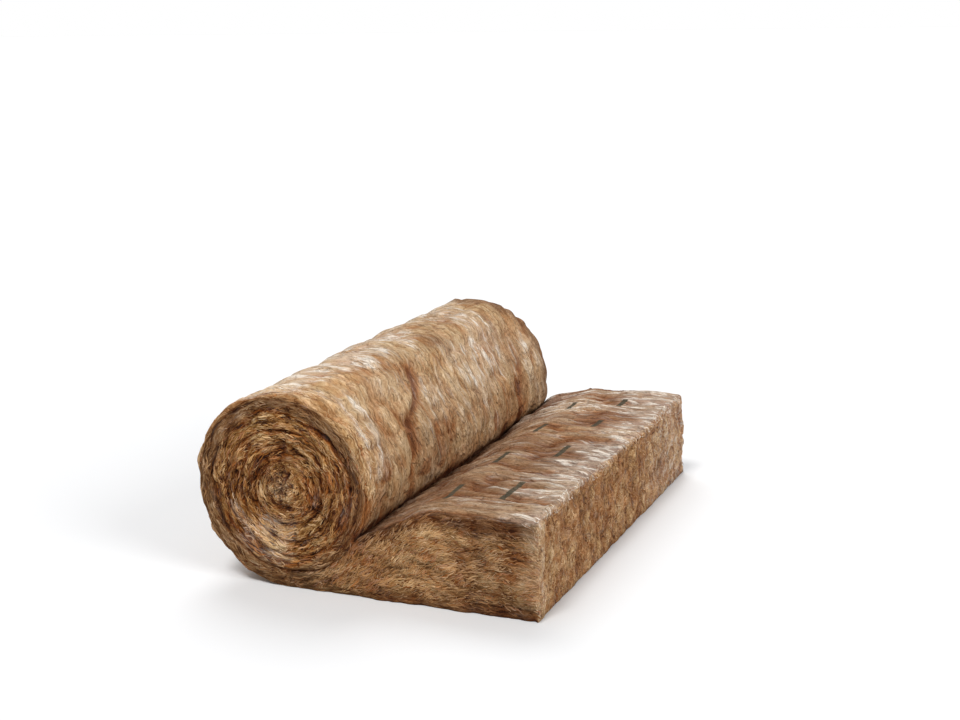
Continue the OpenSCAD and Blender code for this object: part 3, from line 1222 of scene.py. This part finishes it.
# %% Locks that fray out along the near rim
def rim_lean(place):
    """Along the rim, with gentle waves."""
    x, y, z = xyz(place)
    return 0.35 * noise(x / 0.04, y / 0.04, z / 0.04, 66)


def rim_detail(place):
    """Straw-coloured strands with thin gaps between them."""
    x, y, z = xyz(place)
    tone = 0.12 + 0.1 * noise(x / 0.03, y / 0.006, z / 0.03, 78)
    return tone, 0.5 * crease(x / 0.05, y / 0.010, z / 0.05, 79, 9.0)


rim_rows = 18
near_rim = part_of(barrel, slice(None))
near_rim.place = near_rim.place[:, :rim_rows]
near_rim.traits = near_rim.traits[:, :rim_rows]
rim_look = lock_look((0.010, 0.035), 0.8, 1.2, 3, rim_lean, 0.2, 0.12, rim_detail)
make_locks("fibres_near_rim", near_rim, 2600, rim_look, seed=7)


# %% Locks of the cut end
def tuft_lean(place):
    """Tufts lie mostly up and down, and turn with the lumps that they sit on."""
    x, y, z = xyz(place)
    return math.pi + 1.4 * noise(x / 0.06, y / 0.04, z / 0.04, 63)


def tuft_detail(place):
    """Small spots of light and dark fibres, and the gaps between them."""
    y, z = place[..., 1], place[..., 2]
    tone = 0.2 * layers(y / 0.012, z / 0.014, 0.5, 73, 2)
    return tone, 0.8 * crease(y / 0.022, z / 0.022, 1.5, 74, 9.0)


tuft_look = lock_look((0.006, 0.018), 0.9, 1.6, 2.5, tuft_lean, 0.9, 0.11, tuft_detail)
make_locks("fibres_cut_end", end_patch, 11000, tuft_look, seed=3)


# %% How the locks of the roll's ends lie
def wound_lean(place):
    """On the ends the layers wave a little about the direction of winding."""
    x, y, z = xyz(place)
    return 0.5 * noise(x / 0.035, z / 0.035, y, 64)


def wound_detail(place):
    """Layers finer than the mesh shows: light and dark ones, and the thin gaps between them."""
    x = place[..., 0] - roll_x - hub[0]
    z = place[..., 2] - hub[1]
    out = np.hypot(x, z) + 4 * MM * noise(x / 0.03, z / 0.03, 0.5, 70)
    around = np.arctan2(x, z) + 0.3 * noise(x / 0.03, z / 0.03, 1.5, 69)
    a, b = np.cos(around), np.sin(around)
    tone = 0.22 * noise(4 * a, 4 * b, out / 0.0055, 71)
    return tone, 0.9 * crease(3 * a, 3 * b, out / 0.011, 72, 9.0)


# %% How the locks of the tail's sides lie
def slanting_detail(place):
    """The same on the tail's sides, where the layers run level."""
    x = place[..., 0] - roll_x
    z = place[..., 2]
    level = z - 0.35 * x * smooth(0.6, 0.3, x) + 4 * MM * noise(x / 0.04, z / 0.03, 0.5, 75)
    tone = 0.16 * noise(x / 0.05, level / 0.006, 0.5, 76)
    return tone, 0.7 * crease(x / 0.06, level / 0.012, 0.5, 77, 9.0)


def slanting_lean(place):
    """On the tail's sides the layers climb away from the roll, and level out towards the cut end."""
    x, y, z = xyz(place)
    x = x - roll_x
    climb = 0.42 * smooth(0.6, 0.3, x) - 0.25 * smooth(0.12, 0.2, z) * smooth(0.4, 0.5, x)
    return climb + 0.4 * noise(x / 0.06, z / 0.03, y, 65)


# %% Locks of both ends and of the tail's sides
end_look = lock_look((0.010, 0.034), 0.8, 1.4, 2, wound_lean, 0.22, 0.12, wound_detail)
end_flake = lock_look((0.020, 0.050), 2.0, 1.2, 1, wound_lean, 0.2, 0.08, wound_detail, **flaky)
side_look = lock_look((0.008, 0.028), 1.1, 1.6, 3.5, slanting_lean, 0.3, 0.09, slanting_detail)
side_flake = lock_look((0.018, 0.045), 2.0, 1.2, 2, slanting_lean, 0.2, 0.07, slanting_detail, **flaky)
bud_look = lock_look((0.008, 0.022), 1.0, 2.0, 4, wound_lean, 0.5, 0.13, wound_detail)

for name, on_end, on_side in (("near", 4200, 4600), ("far", 2600, 2800)):
    wound = part_of(sides[name].strip, slice(None), end_border)
    flat = part_of(sides[name].tail, slice(None))
    bud_part = part_of(sides[name].bud, slice(0, columns_a_turn + 1), end_border)
    make_locks(f"fibres_{name}_end", wound, on_end, end_look, seed=4)
    make_locks(f"flakes_{name}_end", wound, on_end // 6, end_flake, seed=10)
    make_locks(f"fibres_{name}_side", flat, on_side, side_look, seed=5)
    make_locks(f"flakes_{name}_side", flat, on_side // 7, side_flake, seed=11)
    make_locks(f"fibres_{name}_bud", bud_part, on_end // 14, bud_look, seed=6)
print("triangles in all:", sum(triangle_count(piece) for piece in [wool, *loose]))

# %% [markdown]
# ## Looks from nodes
# A shader node group is a small tool with named inputs and outputs. The wool's colour is one such
# group, because the surface and the loose fibres on it both need it, and they must agree where they
# meet. These helpers keep the building of groups short: each finds the tree from its inputs.


# %% Helpers for nodes
def add_node(tree, kind, **settings):
    """A new node with its settings. A setting named in_NAME fills or links the input called NAME."""
    made = tree.nodes.new("ShaderNode" + kind)
    for name, value in settings.items():
        if not name.startswith("in_"):
            setattr(made, name, value)
    for name, value in settings.items():
        if name.startswith("in_"):
            name = name[3:].replace("_", " ")
            socket = made.inputs[int(name)] if name.isdigit() else made.inputs[name]
            if isinstance(value, bpy.types.NodeSocket):
                tree.links.new(value, socket)
            else:
                socket.default_value = value
    return made


def new_group(name, inputs, outputs):
    """A shader node group with float, colour or vector sockets. Returns it with its two end nodes."""
    tree = bpy.data.node_groups.new(name, "ShaderNodeTree")
    for label, kind in inputs.items():
        tree.interface.new_socket(label, in_out="INPUT", socket_type="NodeSocket" + kind)
    for label, kind in outputs.items():
        tree.interface.new_socket(label, in_out="OUTPUT", socket_type="NodeSocket" + kind)
    return tree, tree.nodes.new("NodeGroupInput").outputs, tree.nodes.new("NodeGroupOutput").inputs


def tree_of(*values):
    """The node tree of the first socket among some numbers, colours and sockets."""
    return next(value.id_data for value in values if isinstance(value, bpy.types.NodeSocket))


# %% Helpers for sums over numbers and sockets
def calc(operation, *values):
    """The output of a Math node."""
    inputs = {f"in_{n}": value for n, value in enumerate(values)}
    return add_node(tree_of(*values), "Math", operation=operation, **inputs).outputs[0]


def plus(a, b):
    """a + b"""
    return calc("ADD", a, b)


def minus(a, b):
    """a - b"""
    return calc("SUBTRACT", a, b)


def times(a, b):
    """a times b"""
    return calc("MULTIPLY", a, b)


def off_centre(value, centre=0.5):
    """How far a value is from the centre, on either side."""
    return calc("ABSOLUTE", minus(value, centre))


def spread_out(value, low_end, high_end, out_low=0.0, out_high=1.0):
    """A Map Range node: low_end becomes out_low and high_end becomes out_high, with a smooth step."""
    made = add_node(tree_of(value), "MapRange", interpolation_type="SMOOTHSTEP", in_0=value)
    for number, end in enumerate((low_end, high_end, out_low, out_high)):
        made.inputs[number + 1].default_value = end
    return made.outputs[0]


# %% Helpers for colours and noise
def mix(share, a, b, blend="MIX"):
    """The output of a Mix node for colours, whose sockets 6 and 7 are its two colours."""
    tree = tree_of(share, a, b)
    return add_node(tree, "Mix", data_type="RGBA", blend_type=blend, in_0=share, in_6=a, in_7=b).outputs[2]


def ramp(value, *stops):
    """A colour ramp over (place, colour) stops."""
    made = add_node(tree_of(value), "ValToRGB", in_Fac=value)
    elements = made.color_ramp.elements
    for n, (place, colour) in enumerate(stops):
        stop = elements[n] if n < len(elements) else elements.new(place)
        stop.position = place
        stop.color = (*colour, 1)
    return made.outputs[0]


def speckle(place, scale, **settings):
    """A Noise Texture node over a place, with scale waves a metre."""
    return add_node(tree_of(place), "TexNoise", in_Vector=place, in_Scale=scale, **settings).outputs


# %% [markdown]
# ## The colour of the wool
# Mineral wool is brown because of the resin that binds it. Where the blanket was cut, the fibres are
# seen end on and look dark, with straw-coloured ridges and almost orange cracks. The felted skin is
# paler, like untreated linen. So the group blends two ramps, the cut and the skin, by how felted the
# point is. Then it darkens valleys, cracks and gaps as painted shade, greys the shaded bands, and
# lightens pale places, which hold both pale fibres and painted highlights.

# %% Colours of the cut wool and of the skin, from their darkest fibres to their lightest
white = (1.0, 1.0, 1.0)
cut_stops = [
    (0.05, (0.085, 0.024, 0.003)),
    (0.36, (0.33, 0.145, 0.030)),
    (0.66, (0.55, 0.322, 0.130)),
    (1.0, (0.82, 0.59, 0.33)),
]
skin_stops = [
    (0.0, (0.28, 0.140, 0.052)),
    (0.35, (0.45, 0.286, 0.145)),
    (0.65, (0.575, 0.408, 0.243)),
    (1.0, (0.82, 0.66, 0.47)),
]
warm_stops = [(0.36, (0.87, 0.68, 0.50)), (0.5, (0.98, 0.94, 0.88)), (0.64, white)]
# Ramps for the valley trait, which darken creases, cracks, grooves and gaps as painted shade.
cut_valley_stops = [(0.0, white), (0.5, (0.60, 0.33, 0.13)), (1.0, (0.12, 0.030, 0.004))]
skin_valley_stops = [(0.0, white), (0.5, (0.70, 0.47, 0.33)), (1.0, (0.28, 0.115, 0.055))]
dusk_tint = (0.56, 0.49, 0.48, 1)
# The colour that pale places take: pale fibres, and painted highlights on crests, the crown and the cut
# edge.
pale_and_highlight_wool = (0.86, 0.79, 0.70, 1)

# %% Node group: wool colour
traits_in = {name: "Float" for name in ("Valley", "Felt", "Pale", "Shade")}
wool_colour, given, result = new_group(
    "Wool colour", {"Grain": "Float", "Place": "Vector", **traits_in}, {"Color": "Color"}
)
both = mix(given["Felt"], ramp(given["Grain"], *cut_stops), ramp(given["Grain"], *skin_stops))
blotch = speckle(given["Place"], 9.0, in_Detail=4.0, in_Roughness=0.6)[0]
least_shaded = spread_out(given["Shade"], 0.0, 1.0, 0.85, 0.4)
most_felted = spread_out(given["Felt"], 0.2, 0.8, 0.45, 0.85)
warmth_share = calc("MINIMUM", least_shaded, most_felted)
mottled = mix(warmth_share, both, ramp(blotch, *warm_stops), "MULTIPLY")
# Painted shade: valleys, cracks and gaps are darkened by these ramps.
in_cut = ramp(given["Valley"], *cut_valley_stops)
in_skin = ramp(given["Valley"], *skin_valley_stops)
valley_shaded = mix(1.0, mottled, mix(given["Felt"], in_cut, in_skin), "MULTIPLY")
dusk = mix(1.0, valley_shaded, dusk_tint, "MULTIPLY")
shaded = mix(given["Shade"], valley_shaded, dusk)
# Pale places lighten here: pale fibres, and painted highlights.
lightened = mix(given["Pale"], shaded, pale_and_highlight_wool)
wool_colour.links.new(lightened, result["Color"])
print("nodes in the wool's colour:", len(wool_colour.nodes))

# %% [markdown]
# ## Cutting marks
# Two rows of short dark dashes are printed along the roll on the blanket's outside, so that it can
# be cut straight. They are ink, so they belong in the colour and not in the mesh. Each row is a
# colour ramp along the blanket's width that is white inside a dash, times a narrow band across it.

# %% Node group: cutting marks
cutting_marks, given, result = new_group("Cutting marks", {"Place": "Vector"}, {"Mask": "Float"})
black = (0.0, 0.0, 0.0)
dash_fade = 0.004
axes = add_node(cutting_marks, "SeparateXYZ", in_Vector=given["Place"]).outputs
wobble = times(minus(speckle(given["Place"], 30.0)[0], 0.5), 0.003)
width_share = calc("DIVIDE", plus(axes["Y"], half_width), 2 * half_width)


def dash_stops(dashes):
    """Ramp stops for one row: white from each dash's start to its end, with a short fade inside."""
    stops = [(0.0, black)]
    for dash in dashes:
        start, end = (place * MM / (2 * half_width) for place in dash)
        stops += [(start, black), (start + dash_fade, white), (end - dash_fade, white), (end, black)]
    return stops


mask = 0.0
for x, dashes in mark_rows.items():
    row = ramp(width_share, *dash_stops(dashes))
    from_line = off_centre(plus(axes["X"], wobble), x)
    mask = calc("MAXIMUM", times(row, spread_out(from_line, 6.2 * MM, 8.4 * MM, 1.0, 0.0)), mask)
patchy = speckle(given["Place"], 120.0, in_Detail=2.0)[0]
ink = times(mask, spread_out(patchy, 0.3, 0.5, 0.7, 0.95))
on_top = spread_out(axes["Z"], 0.12, 0.14)
cutting_marks.links.new(times(ink, on_top), result["Mask"])
print("dashes:", sum(len(dashes) for dashes in mark_rows.values()))

# %% [markdown]
# ## The grain of the wool
# The surface between the loose fibres needs the same combed look. Noise that is stretched in the
# direction of the fibres gives it: broad strands, fine hairs, and thin dark gaps where the strands
# part. The pattern is pushed sideways by a second noise, so that no strand runs straight.

# %% Node group: wool grain, and how its map is bent
wool_grain, given, result = new_group(
    "Wool grain",
    {"Map": "Vector", "Place": "Vector", "Felt": "Float"},
    {"Grain": "Float", "Gap": "Float", "Streak": "Float", "Height": "Float"},
)
loose_share = spread_out(given["Felt"], 0.0, 1.0, 1.0, 0.3)
middle = (0.5, 0.5, 0.5)


def vector_calc(operation, a, **inputs):
    """The output of a Vector Math node."""
    return add_node(wool_grain, "VectorMath", operation=operation, in_0=a, **inputs).outputs[0]


def pushed(start, scale, amount):
    """The map moved along and across the fibres by up to about half of amount, and less on the skin."""
    push = speckle(given["Place"], scale, in_Detail=2.0)["Color"]
    push = vector_calc("MULTIPLY", vector_calc("SUBTRACT", push, in_1=middle), in_1=amount)
    return vector_calc("ADD", start, in_1=vector_calc("SCALE", push, in_Scale=loose_share))


waved = pushed(pushed(given["Map"], 16.0, (0.03, 0.026, 0)), 55.0, (0.010, 0.009, 0))


def stretched(scale, detail, roughness):
    """Noise with its own scale along and across the fibres, per metre."""
    placed = add_node(wool_grain, "Mapping", in_Vector=waved, in_Scale=scale).outputs[0]
    return speckle(placed, 1.0, in_Detail=detail, in_Roughness=roughness)[0]


# %% Strands, hairs, gaps and specks
strands = stretched((16, 110, 1), 4.0, 0.6)
hairs = stretched((70, 420, 1), 3.0, 0.6)
gaps = stretched((20, 80, 1), 3.0, 0.55)
opening = spread_out(stretched((9, 30, 1), 1.0, 0.5), 0.42, 0.66, 0.003, 0.06)
gap = calc("MAXIMUM", minus(1.0, calc("DIVIDE", off_centre(gaps), opening)), 0.0)
contrast = spread_out(plus(times(strands, 0.55), times(hairs, 0.45)), 0.33, 0.67)
specks = spread_out(speckle(given["Place"], 190.0, in_Detail=3.0, in_Roughness=0.6)[0], 0.3, 0.7)
streak = spread_out(stretched((17, 125, 1), 3.0, 0.6), 0.50, 0.68)
crinkle = spread_out(off_centre(stretched((15, 52, 1), 3.0, 0.6)), 0.0, 0.11, 1.0, 0.0)
crinkle = times(crinkle, given["Felt"])

# %% Their sum: the skin is calmer than the cut wool, and has fine crinkles
calm = times(given["Felt"], 0.42)
even = plus(times(specks, 0.5), 0.27)
fine = plus(times(contrast, minus(1.0, calm)), times(even, calm))
fine = plus(fine, times(minus(crinkle, 0.35), 0.16))
height = minus(contrast, times(gap, 0.9))
height = plus(height, times(streak, 0.5))
height = plus(height, times(crinkle, 1.3))
height = times(height, minus(1.0, times(given["Felt"], 0.35)))
for name, value in (("Grain", fine), ("Gap", gap), ("Streak", streak), ("Height", height)):
    wool_grain.links.new(value, result[name])
print("nodes in the wool's grain:", len(wool_grain.nodes))


# %% [markdown]
# ## Two materials of the same wool
# The surface reads the grain from its map, and uses it for both colour and bump. The loose fibres
# are grain themselves: each has one tone, so their material is the colour group alone. The wool is
# rough and hardly shines, because light gets lost between its fibres.


# %% Parts that both materials share
def trait(tree, name):
    """The value that the piece itself holds under this name."""
    return add_node(tree, "Attribute", attribute_name=name).outputs["Fac"]


def wool_material(name):
    """A rough fibrous material with a trace of sheen. Returns it, its node tree, its shader and the
    place on the object."""
    made = bpy.data.materials.new(name)
    made.use_nodes = True
    shader = made.node_tree.nodes["Principled BSDF"]
    shader.inputs["Roughness"].default_value = 0.85
    shader.inputs["Specular IOR Level"].default_value = 0.03
    shader.inputs["Sheen Weight"].default_value = 0.01
    shader.inputs["Sheen Tint"].default_value = (1.0, 0.88, 0.75, 1)
    place = add_node(made.node_tree, "TexCoord").outputs["Object"]
    return made, made.node_tree, shader, place


ink_colour = (0.075, 0.066, 0.045, 1)


def coloured(tree, place, grain, valley, pale):
    """The wool's colour, with the cutting marks printed over it."""
    colour = add_node(
        tree, "Group", node_tree=wool_colour, in_Grain=grain, in_Place=place, in_Valley=valley,
        in_Felt=trait(tree, "felt"), in_Pale=pale, in_Shade=trait(tree, "shade"),
    ).outputs[0]
    marks = add_node(tree, "Group", node_tree=cutting_marks, in_Place=place).outputs["Mask"]
    return mix(marks, colour, ink_colour)


# %% The surface
surface, tree, shader, place_in = wool_material("mineral_wool")
grain_map = add_node(tree, "UVMap", uv_map="grain").outputs[0]
felt_in = trait(tree, "felt")
grained = add_node(
    tree, "Group", node_tree=wool_grain, in_Map=grain_map, in_Place=place_in, in_Felt=felt_in
).outputs
grain_value = plus(grained["Grain"], minus(trait(tree, "tone"), 0.62))
# Painted shade: the gaps between strands and the valleys are darkened. The pale share lightens pale fibres
# and paints highlights.
gap_share = times(grained["Gap"], spread_out(felt_in, 0.0, 0.9, 0.95, 0.28))
valley_share = calc("MAXIMUM", gap_share, trait(tree, "valley"))
streaked = plus(times(grained["Streak"], 1.2), 0.25)
pale_share = calc("MINIMUM", times(plus(trait(tree, "pale"), 0.04), streaked), 0.76)
bump = add_node(tree, "Bump", in_Strength=1.0, in_Distance=0.007, in_Height=grained["Height"])
colour = coloured(tree, place_in, grain_value, valley_share, pale_share)
tree.links.new(colour, shader.inputs["Base Color"])
tree.links.new(bump.outputs[0], shader.inputs["Normal"])
wool.data.materials.append(surface)

# %% The loose fibres
fibre, tree, shader, place_in = wool_material("mineral_wool_fibre")
colour = coloured(tree, place_in, trait(tree, "tone"), trait(tree, "valley"), trait(tree, "pale"))
tree.links.new(colour, shader.inputs["Base Color"])
for piece in loose:
    piece.data.materials.append(fibre)
print("materials:", [material.name for material in bpy.data.materials])

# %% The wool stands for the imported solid
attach(wool, "root")
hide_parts("wool_blanket")

# %% [markdown]
# ## Floor, light and camera
# A pale floor carries on into a pale world, so the blanket stands alone. The world gives soft light
# from everywhere. Three sun lamps shape the wool: the key from above the front, a fill from the
# right, and one from behind on the left that draws a bright edge along the roll's top. Sun lamps
# light the whole floor evenly, near and far.

# %% The floor
floor_reach = 40
floor_corners = [(x * floor_reach, y * floor_reach, 0) for x, y in ((-1, -1), (1, -1), (1, 1), (-1, 1))]
floor_mesh = bpy.data.meshes.new("floor")
floor_mesh.from_pydata(floor_corners, [], [(0, 1, 2, 3)])
floor = bpy.data.objects.new("floor", floor_mesh)
bpy.context.scene.collection.objects.link(floor)
floor.location.z = -0.5 * MM
paint = bpy.data.materials.new("floor_paint")
paint.use_nodes = True
paint_inputs = paint.node_tree.nodes["Principled BSDF"].inputs
paint_inputs["Base Color"].default_value = (0.745, 0.752, 0.765, 1)
paint_inputs["Roughness"].default_value = 1.0
paint_inputs["Specular IOR Level"].default_value = 0.0
floor_mesh.materials.append(paint)
print("floor:", 2 * floor_reach, "m wide")

# %% The light
world = bpy.data.worlds.new("studio")
bpy.context.scene.world = world
world.use_nodes = True
backdrop = world.node_tree.nodes["Background"]
backdrop.inputs["Color"].default_value = (1.0, 1.0, 1.0, 1)
light_given, light_shown = 0.38, 1.0
seen = add_node(world.node_tree, "LightPath").outputs["Is Camera Ray"]
strength = add_node(world.node_tree, "MapRange", in_0=seen, in_3=light_given, in_4=light_shown).outputs[0]
world.node_tree.links.new(strength, backdrop.inputs["Strength"])


def sun(name, towards, softness, strength, tint):
    """A sun lamp that shines from the direction towards. softness is its angle in degrees."""
    data = bpy.data.lights.new(name, "SUN")
    data.angle = math.radians(softness)
    data.energy = strength
    data.color = tint
    lamp = bpy.data.objects.new(name, data)
    bpy.context.scene.collection.objects.link(lamp)
    lamp.rotation_euler = Vector(towards).to_track_quat("Z", "Y").to_euler()


warm_light = (1.0, 0.99, 0.975)
cool_light = (0.99, 0.995, 1.0)
sun("key", (-0.08, -0.45, 0.95), 16, 1.55, warm_light)
sun("fill", (0.9, -0.25, 0.45), 30, 1.75, warm_light)
sun("rim", (-0.35, 0.6, 0.9), 36, 1.4, cool_light)
print("lamps:", [light.name for light in bpy.data.lights])

# %% The camera
# It looks at aim from a distance, turned by azimuth round the object, raised by elevation, and rolled
# a little about its own line of sight by tilt.
azimuth = math.radians(23.42)
elevation = math.radians(13.52)
tilt = math.radians(-1.36)
distance = 3.9
lens_mm = 58.56
aim = Vector((0.153, -0.218, 0.508))
flat_share = math.cos(elevation)
back = Vector((math.sin(azimuth) * flat_share, -math.cos(azimuth) * flat_share, math.sin(elevation)))
level = Vector((math.cos(azimuth), math.sin(azimuth), 0))
upward = back.cross(level)
right = math.cos(tilt) * level + math.sin(tilt) * upward
upward = math.cos(tilt) * upward - math.sin(tilt) * level
turned = Matrix((right, upward, back)).transposed().to_4x4()
camera = bpy.data.objects.new("camera", bpy.data.cameras.new("camera"))
bpy.context.scene.collection.objects.link(camera)
camera.data.lens = lens_mm
camera.matrix_world = Matrix.Translation(aim + back * distance) @ turned
bpy.context.scene.camera = camera
bpy.context.scene.view_settings.view_transform = "Standard"
print("camera at", [round(c, 3) for c in camera.matrix_world.translation])
